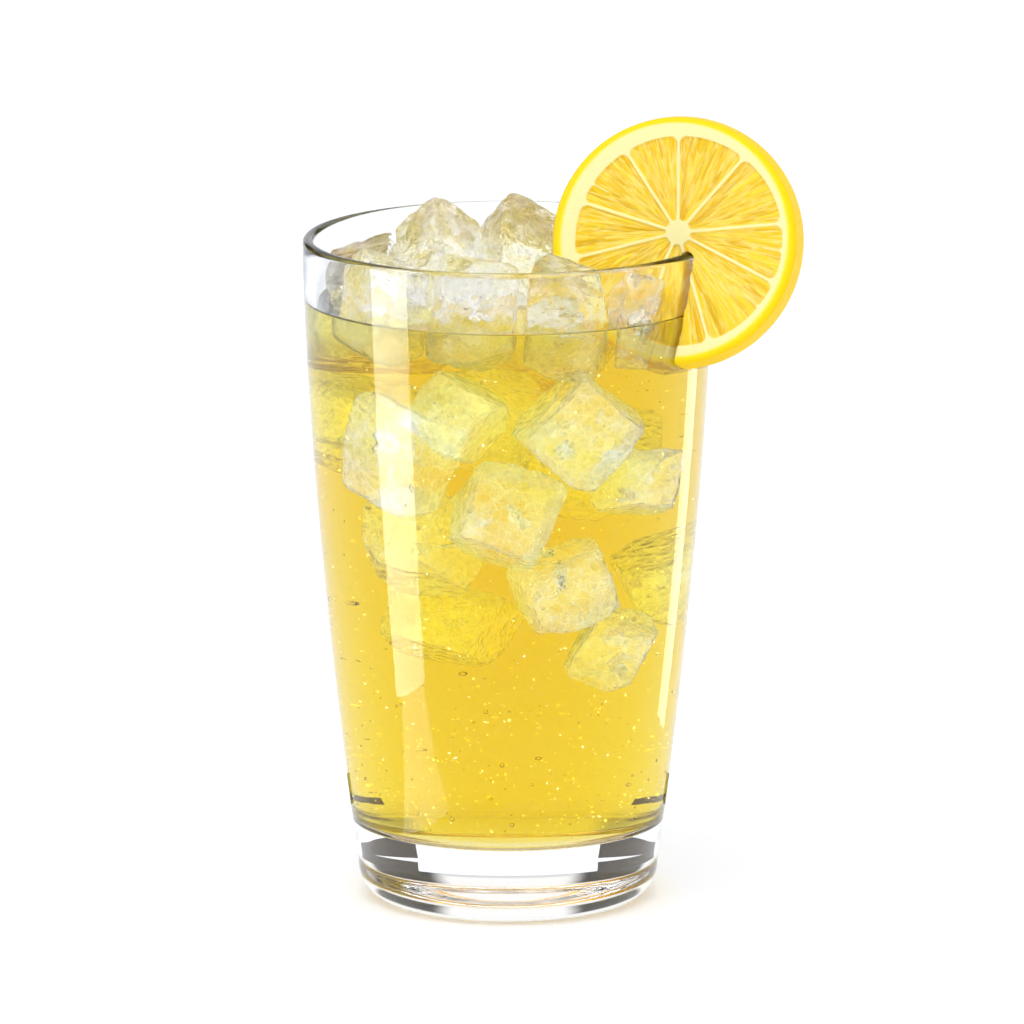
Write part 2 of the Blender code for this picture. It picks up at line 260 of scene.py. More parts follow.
def vertex_places(mesh):
    flat = np.empty(len(mesh.vertices) * 3, np.float32)
    mesh.vertices.foreach_get("co", flat)
    return flat.reshape(-1, 3).astype(float)


def vertex_normals(mesh):
    flat = np.empty(len(mesh.vertices) * 3, np.float32)
    mesh.vertex_normals.foreach_get("vector", flat)
    return flat.reshape(-1, 3).astype(float)


def finished_mesh(piece, name):
    """The mesh of a piece with its modifiers applied; the piece itself goes."""
    bpy.context.view_layer.update()
    graph = bpy.context.evaluated_depsgraph_get()
    mesh = bpy.data.meshes.new_from_object(piece.evaluated_get(graph))
    mesh.name = name
    bpy.data.objects.remove(piece)
    return mesh


def melted(name, rough, seed):
    """An even fine mesh of a rough block, its edges melted round and its faces dented inwards."""
    block = add_piece(name, rough)
    even = block.modifiers.new("even", "REMESH")
    even.mode = "VOXEL"
    even.voxel_size = ICE_CELL
    melt = block.modifiers.new("melt", "SMOOTH")
    melt.factor = 0.5
    melt.iterations = 8
    mesh = finished_mesh(block, name)
    places, normals = vertex_places(mesh), vertex_normals(mesh)
    for place in places:
        room = inner_radius(place[2]) - ICE_TO_WALL
        place[:2] *= min(1, room / math.hypot(place[0], place[1]))
    shift = Vector((seed * 0.37, seed * 0.11, seed * 0.53))
    for place, normal in zip(places, normals):
        broad = abs(noise.noise(Vector(place) / BROAD_DENT_WIDTH + shift))
        fine = abs(noise.noise(Vector(place) / FINE_DENT_WIDTH - shift))
        place -= normal * (BROAD_DENT * broad + FINE_DENT * fine)
    mesh.vertices.foreach_set("co", places.astype(np.float32).ravel())
    mesh.update()
    return mesh


def rough_cube(middle, size, turn, chance):
    """A block of ice with its corners cut, before it is melted round."""
    spin = Matrix.Rotation(math.radians(turn[2]), 3, "Z")
    spin = spin @ Matrix.Rotation(math.radians(turn[1]), 3, "Y")
    spin = spin @ Matrix.Rotation(math.radians(turn[0]), 3, "X")
    block = bmesh.new()
    bmesh.ops.create_cube(block, size=MM)
    bmesh.ops.scale(block, vec=size, verts=block.verts)
    bmesh.ops.rotate(block, cent=(0, 0, 0), matrix=spin, verts=block.verts)
    for corner in [v.co.copy() for v in block.verts]:
        lean = Vector([chance.uniform(-0.3, 0.3) for _ in range(3)])
        geometry = list(block.verts) + list(block.edges) + list(block.faces)
        done = bmesh.ops.bisect_plane(
            block, geom=geometry, plane_co=corner * chance.uniform(0.72, 0.92),
            plane_no=(corner.normalized() + lean).normalized(), clear_outer=True,
        )
        rim = [e for e in done["geom_cut"] if isinstance(e, bmesh.types.BMEdge)]
        if len(rim) > 2:
            bmesh.ops.edgenet_fill(block, edges=rim)
    bmesh.ops.translate(block, vec=Vector(middle) * MM, verts=block.verts)
    bmesh.ops.recalc_face_normals(block, faces=block.faces)
    mesh = bpy.data.meshes.new("rough cube")
    block.to_mesh(mesh)
    block.free()
    return mesh


def inside_out_ball(rounds):
    """The corners of a ball of radius 1, and its faces, which look inwards."""
    made = bmesh.new()
    bmesh.ops.create_icosphere(made, subdivisions=rounds, radius=1)
    corners = [v.co.copy() for v in made.verts]
    faces = [[v.index for v in reversed(f.verts)] for f in made.faces]
    made.free()
    return corners, faces


SMALL_BALL = inside_out_ball(1)
LARGE_BALL = inside_out_ball(2)


def add_hollow(made, place, radii, turn, crumple, chance):
    """A small closed cavity in a solid: an air bubble, or a crack where one radius is thin."""
    corners, faces = LARGE_BALL if max(radii) > 0.45 * MM else SMALL_BALL
    shift = Vector([chance.uniform(0, 50) for _ in range(3)])
    new = []
    for corner in corners:
        bulge = 1 + crumple * noise.noise(corner * 1.7 + shift)
        point = Vector([c * r for c, r in zip(corner, radii)]) * bulge
        point.z += crumple * max(radii) * 0.5 * noise.noise(point / max(radii) * 1.3 - shift)
        new.append(made.verts.new(turn @ point + place))
    for face in faces:
        made.faces.new([new[i] for i in face]).smooth = True


def any_turn(chance):
    """A turn by any angle about an axis that leans any way."""
    angle = chance.uniform(0, 6.28)
    axis = Vector((chance.gauss(0, 1), chance.gauss(0, 1), 1))
    return Matrix.Rotation(angle, 3, axis)


def add_trapped_air(mesh, seed):
    """Cracks and small bubbles of air inside a block, clouded round its middle."""
    chance = random.Random(seed)
    places = vertex_places(mesh)
    low, high = places.min(0), places.max(0)
    middle, reach = Vector((low + high) / 2), (high - low) / 2
    made = bmesh.new()
    made.from_mesh(mesh)
    for number in range(CRACKS + AIR_BUBBLES):
        place = middle + Vector([chance.gauss(0, 0.26) * r for r in reach])
        turn = any_turn(chance)
        if number < CRACKS:
            wide = chance.uniform(1.2, 3.6) * MM
            add_hollow(made, place, (wide, wide * 0.6, 0.10 * MM), turn, 0.5, chance)
        else:
            wide = chance.uniform(0.12, 0.40) * MM
            add_hollow(made, place, (wide, wide, wide), turn, 0.0, chance)
    for face in made.faces:
        face.smooth = True
    made.to_mesh(mesh)
    made.free()


floating_ice = ice_material("floating ice", FLOATING_GLOW_COLOUR, FLOATING_GLOW_STRENGTH)
ice_in_drink = ice_material("sunk ice", SUNK_GLOW_COLOUR, SUNK_GLOW_STRENGTH)
ice_shells = []  # what the drink is cut by
floating = sorted(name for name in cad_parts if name.startswith("ice_"))
for number, node in enumerate(floating):
    block_mesh = melted("melting_" + node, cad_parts[node].data.copy(), number)
    ice_shells.append(block_mesh.copy())
    add_trapped_air(block_mesh, number)
    block = add_piece("melting_" + node, block_mesh, floating_ice)
    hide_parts(node)
    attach(block, "root")

all_sunk = bmesh.new()
for number, (middle, size, turn) in enumerate(SUNK_ICE):
    chance = random.Random(100 + number)
    block_mesh = melted("sunk cube", rough_cube(middle, size, turn, chance), 100 + number)
    ice_shells.append(block_mesh.copy())
    add_trapped_air(block_mesh, 100 + number)
    all_sunk.from_mesh(block_mesh)
sunk_mesh = bpy.data.meshes.new("sunk_ice")
all_sunk.to_mesh(sunk_mesh)
all_sunk.free()
sunk_ice = add_piece("sunk_ice", sunk_mesh, ice_in_drink)
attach(sunk_ice, "root")


# The lemonade. Water, lemon juice and sugar, poured over the ice: a clear golden yellow that is
# deepest where it is thickest. It wets the glass, so it climbs a little at its edge.
LEVEL = 130.3 * MM
MENISCUS_RISE = 0.8 * MM
MENISCUS_WIDTH = 3.0 * MM
INTO_WALL = 0.15 * MM  # no air between drink and glass
INTO_ICE = 0.05 * MM
DRINK_BENDS_LIGHT = 1.34
DRINK_COLOUR = (0.975, 0.912, 0.0)
DRINK_DEPTH = 100.0  # how strongly a metre of it colours the light
BUBBLES = 450
SMALLEST_BUBBLE = 0.07  # radius in millimetres
LARGEST_BUBBLE = 0.5
SHARP_EDGE = math.radians(50)


def drink_profile():
    """From the middle of the surface, over the meniscus and down the inside of the tumbler."""
    corner_z = FLOOR_HEIGHT + FLOOR_CORNER
    corner_r = inner_radius(corner_z) - FLOOR_CORNER
    edge = inner_radius(LEVEL) + INTO_WALL
    surface = [(r, LEVEL) for r in np.linspace(0, edge - MENISCUS_WIDTH, 12)[:-1]]
    meniscus = arc(
        edge - MENISCUS_WIDTH, LEVEL + MENISCUS_RISE, MENISCUS_WIDTH, MENISCUS_RISE, -90, 0, 10
    )
    side = [(inner_radius(z) + INTO_WALL, z) for z in np.linspace(LEVEL, corner_z, 60)[1:]]
    rounding = FLOOR_CORNER + INTO_WALL
    corner = arc(corner_r, corner_z, rounding, rounding, 0, -90, 14)[1:]
    return surface + meniscus + side + corner + [(0, FLOOR_HEIGHT - INTO_WALL)]


lemonade, drink_shader = new_material("lemonade", (1, 1, 1), 0.0, DRINK_BENDS_LIGHT, 1.0)
drink_shader.inputs["Specular Tint"].default_value = (0.1, 0.1, 0.1, 1)  # it lies against the glass
depth_of_colour = add_node(lemonade, "ShaderNodeVolumeAbsorption", Density=DRINK_DEPTH)
depth_of_colour.inputs["Color"].default_value = (*DRINK_COLOUR, 1)
output = lemonade.node_tree.nodes["Material Output"]
lemonade.node_tree.links.new(depth_of_colour.outputs["Volume"], output.inputs["Volume"])
swirl = add_node(lemonade, "ShaderNodeTexNoise", Scale=90.0, Detail=1.0)
swirl_place = add_node(lemonade, "ShaderNodeTexCoord")
swirl_bump = add_node(lemonade, "ShaderNodeBump", Strength=0.05, Distance=0.001)
lemonade.node_tree.links.new(swirl_place.outputs["Object"], swirl.inputs["Vector"])
lemonade.node_tree.links.new(swirl.outputs["Fac"], swirl_bump.inputs["Height"])
lemonade.node_tree.links.new(swirl_bump.outputs["Normal"], drink_shader.inputs["Normal"])

drink = add_piece("poured_lemonade", turned_mesh("poured_lemonade", drink_profile()), lemonade)
cutters = []
for shell in ice_shells:
    places = vertex_places(shell) - vertex_normals(shell) * INTO_ICE
    shell.vertices.foreach_set("co", places.astype(np.float32).ravel())
    shell.update()
    cutter = add_piece("ice pocket", shell)
    pocket = drink.modifiers.new("ice pocket", "BOOLEAN")
    pocket.operation = "DIFFERENCE"
    pocket.solver = "MANIFOLD"
    pocket.object = cutter
    cutters.append(cutter)
drink_mesh = finished_mesh(drink, "poured_lemonade")
for cutter in cutters:
    bpy.data.objects.remove(cutter)


def surface_of(mesh):
    """The surface of a mesh, for finding what lies inside it."""
    return BVHTree.FromPolygons([v.co for v in mesh.vertices], [p.vertices for p in mesh.polygons])


def add_bubbles(mesh, seed):
    """Tiny bubbles of air, most of them near the wall and in the lower half."""
    chance = random.Random(seed)
    solid = surface_of(mesh)
    made = bmesh.new()
    made.from_mesh(mesh)
    placed = 0
    while placed < BUBBLES:
        wide = min(SMALLEST_BUBBLE + chance.expovariate(9), LARGEST_BUBBLE) * MM
        z = FLOOR_HEIGHT + 3 * MM + (LEVEL - FLOOR_HEIGHT - 8 * MM) * chance.random() ** 1.3
        from_wall = wide + (0.25 + chance.expovariate(0.25)) * MM
        r = inner_radius(z) - from_wall
        if z < FLOOR_HEIGHT + FLOOR_CORNER + MM:
            r -= FLOOR_CORNER
        if r < 0:
            continue
        turn = chance.uniform(0, 2 * math.pi)
        place = Vector((r * math.cos(turn), r * math.sin(turn), z))
        nearest, normal, _, far = solid.find_nearest(place)
        if (place - nearest).dot(normal) > 0 or far < wide + 0.1 * MM:
            continue
        add_hollow(made, place, (wide, wide, wide), Matrix.Identity(3), 0.0, chance)
        placed += 1
    for face in made.faces:
        face.smooth = True
    made.to_mesh(mesh)
    made.free()
    mesh.set_sharp_from_angle(angle=SHARP_EDGE)


add_bubbles(drink_mesh, 7)
drink = add_piece("poured_lemonade", drink_mesh, lemonade)
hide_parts("lemonade")
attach(drink, "root")


# The pulp. Torn walls of the juice sacs, cream-coloured specks under a millimetre long, stirred
# through the drink. Most of them show by the wall and low in the glass.
PULP = 1000
SMALLEST_PULP = 0.10  # half its length in millimetres
LARGEST_PULP = 0.45
PULP_COLOUR = (0.98, 0.93, 0.70)
PALE_PULP = (0.98, 0.98, 0.90)
PULP_PAINTED_GLOW = 0.9  # painted glow: emission that stands in for the light of the drink round it that it scatters


def pulp_mesh(solid_mesh, seed):
    """Small flat specks, each wholly inside the drink."""
    chance = random.Random(seed)
    solid = surface_of(solid_mesh)
    made = bmesh.new()
    corners, faces = SMALL_BALL
    placed = 0
    while placed < PULP:
        wide = min(SMALLEST_PULP + chance.expovariate(8), LARGEST_PULP) * MM
        z = FLOOR_HEIGHT + 3 * MM + (LEVEL - FLOOR_HEIGHT - 8 * MM) * chance.random() ** 1.5
        r = inner_radius(z) - wide - (0.3 + chance.expovariate(0.2)) * MM
        if z < FLOOR_HEIGHT + FLOOR_CORNER + MM:
            r -= FLOOR_CORNER
        around = chance.uniform(0, 2 * math.pi)
        place = Vector((r * math.cos(around), r * math.sin(around), z))
        nearest, normal, _, far = solid.find_nearest(place)
        if r < 0 or (place - nearest).dot(normal) > 0 or far < wide + 0.1 * MM:
            continue
        turn = any_turn(chance)
        radii = (wide, wide * chance.uniform(0.5, 0.9), wide * 0.4)
        new = []
        for corner in corners:
            point = Vector([c * size for c, size in zip(corner, radii)])
            new.append(made.verts.new(turn @ point * chance.uniform(0.8, 1.1) + place))
        for face in faces:
            made.faces.new([new[i] for i in reversed(face)]).smooth = True
        placed += 1
    mesh = bpy.data.meshes.new("lemon_pulp")
    made.to_mesh(mesh)
    made.free()
    return mesh


pulp_material, pulp_shader = new_material("pulp", PULP_COLOUR, 0.6, 1.36)
# Painted glow: the specks emit their own cream colour, so that they show bright in the drink.
pulp_shader.inputs["Emission Color"].default_value = (*PULP_COLOUR, 1)
pulp_shader.inputs["Emission Strength"].default_value = PULP_PAINTED_GLOW
cloud = add_node(pulp_material, "ShaderNodeTexNoise", Scale=600.0, Detail=2.0)
cloud_place = add_node(pulp_material, "ShaderNodeTexCoord")
cloud_colour = add_node(pulp_material, "ShaderNodeMix", data_type="RGBA", blend_type="MIX")
cloud_colour.inputs[6].default_value = (*PULP_COLOUR, 1)
cloud_colour.inputs[7].default_value = (*PALE_PULP, 1)
pulp_material.node_tree.links.new(cloud_place.outputs["Object"], cloud.inputs["Vector"])
pulp_material.node_tree.links.new(cloud.outputs["Fac"], cloud_colour.inputs[0])
pulp_material.node_tree.links.new(cloud_colour.outputs[2], pulp_shader.inputs["Base Color"])
pulp = add_piece("lemon_pulp", pulp_mesh(drink_mesh, 21), pulp_material)
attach(pulp, "root")


# The lemon wheel. A 6 mm slice across a lemon: juice sacs in nine segments between thin
# membranes, white pith, and a thin oily peel. It is slit from below and pushed onto the rim.
SLICE_RADIUS = 27.1 * MM
SLICE_THICKNESS = 6.0 * MM
SLICE_TAPER = 0.7 * MM  # the back face's radius, less the front's
PEEL_ROUNDING = 0.9 * MM
SLICE_PLACE = Vector((35.8, -15.8, 145.9)) * MM
SLICE_TURN = math.radians(12)
SLICE_LEAN = math.radians(16)
FLESH_RADIUS = 22.4 * MM
FLESH_MIDDLE = (1.0 * MM, 0.0)
CORE_MIDDLE = (0.8 * MM, 1.8 * MM)
CORE_RADIUS = 2.6 * MM
MEMBRANE = 0.55 * MM
RELIEF = 0.5 * MM  # the flesh lies this far under the pith
MEMBRANE_ANGLES = (93, 126, 165, 196, 248, 289, 335, 367, 411)  # degrees, anticlockwise
CLEFT_ANGLES = (153, 320, 352)  # short folds at the outer end of a segment
CORNER = 1.6 * MM  # how round a segment's outer corners are
SACS = 520
SAC_WIDTH = 0.60 * MM
SAC_LENGTH = 5.5 * MM
WHEEL_COLUMNS = 520
SLIT_GAP = 0.3 * MM
FLESH_COLOURS = ((0.0, (0.83, 0.49, 0.010)), (0.5, (0.92, 0.60, 0.018)), (1.0, (0.98, 0.73, 0.045)))
PALE_FLESH = (0.99, 0.83, 0.27)
PITH_COLOUR = (0.99, 0.87, 0.42)
PEEL_COLOURS = ((0.0, (0.94, 0.60, 0.002)), (0.45, (0.97, 0.70, 0.004)), (1.0, (0.99, 0.82, 0.03)))


def slice_matrix():
    """The lemon wheel's place: X across it, Y up it and Z out of its front face."""
    across = Vector((math.cos(SLICE_TURN), -math.sin(SLICE_TURN), 0))
    upright = Vector((0, 0, 1))
    level_face = across.cross(upright)
    face = level_face * math.cos(SLICE_LEAN) + upright * math.sin(SLICE_LEAN)
    up = face.cross(across)
    turn = Matrix((across, up, face)).transposed().to_4x4()
    return Matrix.Translation(SLICE_PLACE) @ turn


def reach_to_circle(angle, middle, radius):
    """How far a circle about a middle lies from the core, along directions in radians."""
    away_x, away_y = np.cos(angle), np.sin(angle)
    off_x, off_y = CORE_MIDDLE[0] - middle[0], CORE_MIDDLE[1] - middle[1]
    along = off_x * away_x + off_y * away_y
    return -along + np.sqrt(along**2 - off_x**2 - off_y**2 + radius**2)


def smooth_step(low, high, value):
    share = np.clip((value - low) / (high - low), 0, 1)
    return share * share * (3 - 2 * share)


def both_inside(first, second, rounding):
    """The depth inside two shapes at once, with the corner where they meet rounded."""
    corner = rounding - np.hypot(np.maximum(rounding - first, 0), np.maximum(rounding - second, 0))
    return np.where((first < rounding) & (second < rounding), corner, np.minimum(first, second))


def flesh_depth(x, y):
    """How deep a point lies inside its segment of flesh, in metres; below 0 is membrane or pith."""
    from_core = np.hypot(x - CORE_MIDDLE[0], y - CORE_MIDDLE[1])
    angle = np.arctan2(y - CORE_MIDDLE[1], x - CORE_MIDDLE[0])
    reach = reach_to_circle(angle, FLESH_MIDDLE, FLESH_RADIUS)
    nearest = np.full(x.shape, 90.0)
    for membrane in MEMBRANE_ANGLES:
        turn = np.abs((np.degrees(angle) - membrane + 180) % 360 - 180)
        nearest = np.minimum(nearest, turn)
    beside = from_core * np.sin(np.radians(nearest)) - MEMBRANE / 2
    depth = both_inside(beside, reach - from_core, CORNER)
    for cleft in CLEFT_ANGLES:
        turn = np.abs((np.degrees(angle) - cleft + 180) % 360 - 180)
        aside = from_core * np.sin(np.radians(np.minimum(turn, 90)))
        fold = np.hypot(np.maximum(reach * 0.82 - from_core, 0), aside) - 0.12 * MM
        depth = both_inside(depth, fold, 0.8 * MM)
    return both_inside(depth, from_core - CORE_RADIUS, 0.5 * MM)


def juice_sacs(x, y, seed):
    """For each point, how near it is to its sac's wall (0 is on it), and a number for its sac."""
    chance = np.random.default_rng(seed)
    sac_angle = chance.uniform(0, 2 * math.pi, SACS)
    sac_from_core = CORE_RADIUS + (FLESH_RADIUS - CORE_RADIUS) * chance.uniform(0, 1, SACS) ** 0.62
    from_core = np.hypot(x - CORE_MIDDLE[0], y - CORE_MIDDLE[1]).astype(np.float32)
    angle = np.arctan2(y - CORE_MIDDLE[1], x - CORE_MIDDLE[0]).astype(np.float32)
    first = np.full(x.shape, 1e9, np.float32)
    second = np.full(x.shape, 1e9, np.float32)
    owner = np.zeros(x.shape, np.float32)
    shade = chance.uniform(0, 1, SACS)
    for number in range(SACS):
        turn = np.abs(angle - sac_angle[number])
        turn = np.minimum(turn, 2 * math.pi - turn)
        aside = turn * (from_core + sac_from_core[number]) / 2 / SAC_WIDTH
        along = (from_core - sac_from_core[number]) / SAC_LENGTH
        far = aside * aside + along * along
        closer = far < first
        second = np.where(closer, first, np.minimum(second, far))
        owner = np.where(closer, shade[number], owner)
        first = np.where(closer, far, first)
    return np.sqrt(second) - np.sqrt(first), owner


def wheel_columns():
    """The directions from the core that the mesh's columns follow, closer together by a membrane."""
    directions = []
    turns = list(MEMBRANE_ANGLES) + [MEMBRANE_ANGLES[0] + 360]
    for first, last in zip(turns[:-1], turns[1:]):
        count = round(WHEEL_COLUMNS * (last - first) / 360)
        share = np.arange(count) / count
        share = share - 0.55 * np.sin(2 * math.pi * share) / (2 * math.pi)
        directions.append(np.radians(first + (last - first) * share))
    return np.concatenate(directions)


def wheel_rings(angle):
    """The mesh's rings from the front's core over the peel to the back's core, as x, y and z."""
    front = SLICE_RADIUS - SLICE_TAPER
    half = SLICE_THICKNESS / 2
    flesh_edge = reach_to_circle(angle, FLESH_MIDDLE, FLESH_RADIUS)
    rings = []

    def ring_at(from_core, z):
        x = CORE_MIDDLE[0] + from_core * np.cos(angle)
        y = CORE_MIDDLE[1] + from_core * np.sin(angle)
        rings.append((x, y, np.full(angle.shape, z)))

    def face(edge_radius, z, flesh_rings, pith_rings):
        edge = reach_to_circle(angle, (0, 0), edge_radius)
        for share in (0.3, 0.6, 0.85):
            ring_at(CORE_RADIUS * share + 0 * angle, z)
        for share in np.linspace(0, 1, flesh_rings):
            share = share - 0.3 * math.sin(2 * math.pi * share) / (2 * math.pi)
            ring_at(CORE_RADIUS + (flesh_edge - CORE_RADIUS) * share, z)
        for share in np.linspace(0, 1, pith_rings)[1:]:
            ring_at(flesh_edge + (edge - flesh_edge) * share, z)

    face(front - PEEL_ROUNDING, half, 62, 14)
    for turn in np.radians(np.linspace(75, 0, 5)):
        radius = front - PEEL_ROUNDING * (1 - math.cos(turn))
        ring_at(reach_to_circle(angle, (0, 0), radius), half - PEEL_ROUNDING * (1 - math.sin(turn)))
    for share in np.linspace(0, 1, 9)[1:-1]:
        z = (half - PEEL_ROUNDING) * (1 - 2 * share)
        ring_at(reach_to_circle(angle, (0, 0), front + SLICE_TAPER * share), z)
    for turn in np.radians(np.linspace(0, 75, 5)):
        radius = SLICE_RADIUS - PEEL_ROUNDING * (1 - math.cos(turn))
        ring_at(reach_to_circle(angle, (0, 0), radius), PEEL_ROUNDING * (1 - math.sin(turn)) - half)
    over_the_peel = len(rings)
    face(SLICE_RADIUS - PEEL_ROUNDING, -half, 46, 10)
    rings[over_the_peel:] = rings[over_the_peel:][::-1]
    return [np.array(axis) for axis in zip(*rings)]


def wheel_mesh():
    """The whole lemon wheel before it is slit, its flesh sunk and its sacs raised."""
    angle = wheel_columns()
    x, y, z = wheel_rings(angle)
    depth = flesh_depth(x, y)
    wall_front, _ = juice_sacs(x, y, 11)
    wall_back, _ = juice_sacs(x, y, 12)
    on_face = smooth_step(SLICE_THICKNESS / 2 - 0.2 * MM, SLICE_THICKNESS / 2, np.abs(z))
    bulge = np.where(z > 0, wall_front, wall_back)
    sunk = RELIEF * smooth_step(-0.1 * MM, 0.45 * MM, depth)
    raised = 0.42 * MM * smooth_step(0, 0.75, bulge) * smooth_step(0.1 * MM, 1.2 * MM, depth)
    z = z - np.sign(z) * on_face * (sunk - raised)
    made = bmesh.new()
    columns = len(angle)
    rows = [
        [made.verts.new(place) for place in zip(x[row], y[row], z[row])] for row in range(len(x))
    ]
    front = made.verts.new((*CORE_MIDDLE, SLICE_THICKNESS / 2))
    back = made.verts.new((*CORE_MIDDLE, -SLICE_THICKNESS / 2))
    for i in range(columns):
        j = (i + 1) % columns
        made.faces.new((front, rows[0][i], rows[0][j]))
        for inner, outer in zip(rows[:-1], rows[1:]):
            made.faces.new((inner[i], outer[i], outer[j], inner[j]))
        made.faces.new((rows[-1][i], back, rows[-1][j]))
    bmesh.ops.recalc_face_normals(made, faces=made.faces)
    mesh = bpy.data.meshes.new("slit_lemon_wheel")
    made.to_mesh(mesh)
    made.free()
    return mesh


def slit_ring():
    """A ring like the tumbler's wall, a little thicker, that the wheel is slit by."""
    lip = RIM_WALL / 2
    heights = np.linspace(LEVEL - 20 * MM, HEIGHT - lip, 24)
    profile = [(inner_radius(z) - SLIT_GAP, z) for z in heights]
    profile += arc(RIM_RADIUS - lip, HEIGHT - lip, lip + SLIT_GAP, lip + SLIT_GAP, 165, 15, 11)
    profile += [(outer_radius(z) + SLIT_GAP, z) for z in reversed(heights)]
    made = bmesh.new()
    angles = np.linspace(0, 2 * math.pi, TURNS, endpoint=False)
    rings = [[made.verts.new((r * math.cos(a), r * math.sin(a), z)) for a in angles] for r, z in profile]
    for inner, outer in zip(rings, rings[1:] + rings[:1]):
        for i in range(TURNS):
            j = (i + 1) % TURNS
            made.faces.new((inner[i], outer[i], outer[j], inner[j]))
    bmesh.ops.recalc_face_normals(made, faces=made.faces)
    mesh = bpy.data.meshes.new("slit")
    made.to_mesh(mesh)
    made.free()
    return mesh


def mark(mesh, name, values):
    """Keeps one number for each vertex, for the material to read."""
    attribute = mesh.attributes.new(name, "FLOAT", "POINT")
    attribute.data.foreach_set("value", values.astype(np.float32).ravel())


def mark_lemon(mesh):
    """Marks flesh, sac walls, sac shades, peel and the way that the fibres run."""
    x, y, z = vertex_places(mesh).T
    depth = flesh_depth(x, y)
    front_wall, front_shade = juice_sacs(x, y, 11)
    back_wall, back_shade = juice_sacs(x, y, 12)
    from_middle = np.hypot(x, y)
    turn = np.arctan2(y, x)
    edge = SLICE_RADIUS - SLICE_TAPER * (z / SLICE_THICKNESS + 0.5)
    peel_width = (1.35 + 0.5 * np.cos(turn) ** 2 + 0.5 * (1 - np.sin(turn)) / 2) * MM
    mark(mesh, "flesh_depth", depth / MM)
    mark(mesh, "sac_wall", np.where(z > 0, front_wall, back_wall))
    mark(mesh, "sac_shade", np.where(z > 0, front_shade, back_shade))
    mark(mesh, "peel_depth", (edge - from_middle) / peel_width)
    angle = np.degrees(np.arctan2(y - CORE_MIDDLE[1], x - CORE_MIDDLE[0]))
    angle = (angle - MEMBRANE_ANGLES[0]) % 360
    from_core = np.hypot(x - CORE_MIDDLE[0], y - CORE_MIDDLE[1])
    grain = np.stack([angle / 1.3, from_core / (6 * MM), np.sign(z) * 3], 1)
    attribute = mesh.attributes.new("grain", "FLOAT_VECTOR", "POINT")
    attribute.data.foreach_set("vector", grain.astype(np.float32).ravel())


def lemon_material():
    """Wet translucent flesh, cream membranes and pith, and a glossy pored peel."""
    material, shader = new_material("lemon", (1, 0.8, 0.1), 0.3, 1.40)
    links = material.node_tree.links

    def reads(name, output="Fac"):
        return add_node(material, "ShaderNodeAttribute", attribute_name=name).outputs[output]

    def ramp(value, stops):
        node = add_node(material, "ShaderNodeValToRGB")
        while len(node.color_ramp.elements) < len(stops):
            node.color_ramp.elements.new(0.5)
        for element, (place, colour) in zip(node.color_ramp.elements, stops):
            element.position = place
            element.color = (*colour, 1)
        links.new(value, node.inputs["Fac"])
        return node.outputs["Color"]

    def blend(share, first, second):
        node = add_node(material, "ShaderNodeMix", data_type="RGBA", blend_type="MIX")
        for value, socket in zip((share, first, second), (node.inputs[i] for i in (0, 6, 7))):
            if isinstance(value, tuple):
                socket.default_value = (*value, 1)
            else:
                links.new(value, socket)
        return node.outputs[2]

    fibres = add_node(material, "ShaderNodeTexNoise", Scale=1.0, Detail=4.0, Roughness=0.6)
    links.new(reads("grain", "Vector"), fibres.inputs["Vector"])
    flesh = ramp(reads("sac_shade"), FLESH_COLOURS)
    streaks = add_spread(material, fibres.outputs["Fac"], 0.50, 0.72)
    flesh = blend(streaks, flesh, PALE_FLESH)
    walls = add_spread(material, reads("sac_wall"), 0.25, 0.02, 0.0, 0.45)
    flesh = blend(walls, flesh, PALE_FLESH)
    inside = add_spread(material, reads("flesh_depth"), -0.12, 0.16)
    colour = blend(inside, PITH_COLOUR, flesh)
    peel = ramp(reads("peel_depth"), PEEL_COLOURS)
    outside = add_spread(material, reads("peel_depth"), 1.15, 0.75)
    colour = blend(outside, colour, peel)
    links.new(colour, shader.inputs["Base Color"])
    roughness = add_spread(material, reads("flesh_depth"), -0.1, 0.2, 0.55, 0.18)
    links.new(roughness, shader.inputs["Roughness"])
    shader.inputs["Subsurface Weight"].default_value = 0.15
    shader.inputs["Subsurface Radius"].default_value = (1.0, 0.7, 0.2)
    shader.inputs["Subsurface Scale"].default_value = 1.5 * MM
    shader.inputs["Specular IOR Level"].default_value = 0.18
    pores = add_node(material, "ShaderNodeTexVoronoi", feature="SMOOTH_F1", Scale=900.0)
    place = add_node(material, "ShaderNodeTexCoord")
    links.new(place.outputs["Object"], pores.inputs["Vector"])
    bump = add_node(material, "ShaderNodeBump", Strength=0.5, Distance=0.0003)
    height = blend(outside, fibres.outputs["Fac"], pores.outputs["Distance"])
    links.new(height, bump.inputs["Height"])
    links.new(bump.outputs["Normal"], shader.inputs["Normal"])
    return material


whole_wheel = add_piece("whole wheel", wheel_mesh())
whole_wheel.matrix_world = slice_matrix()
slit = add_piece("slit", slit_ring())
slitting = whole_wheel.modifiers.new("slit", "BOOLEAN")
slitting.operation = "DIFFERENCE"
slitting.solver = "MANIFOLD"
slitting.object = slit
lemon_mesh = finished_mesh(whole_wheel, "slit_lemon_wheel")
bpy.data.objects.remove(slit)
mark_lemon(lemon_mesh)
lemon_mesh.transform(slice_matrix())
for polygon in lemon_mesh.polygons:
    polygon.use_smooth = True
lemon_wheel = add_piece("slit_lemon_wheel", lemon_mesh, lemon_material())
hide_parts("lemon_slice")
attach(lemon_wheel, "root")


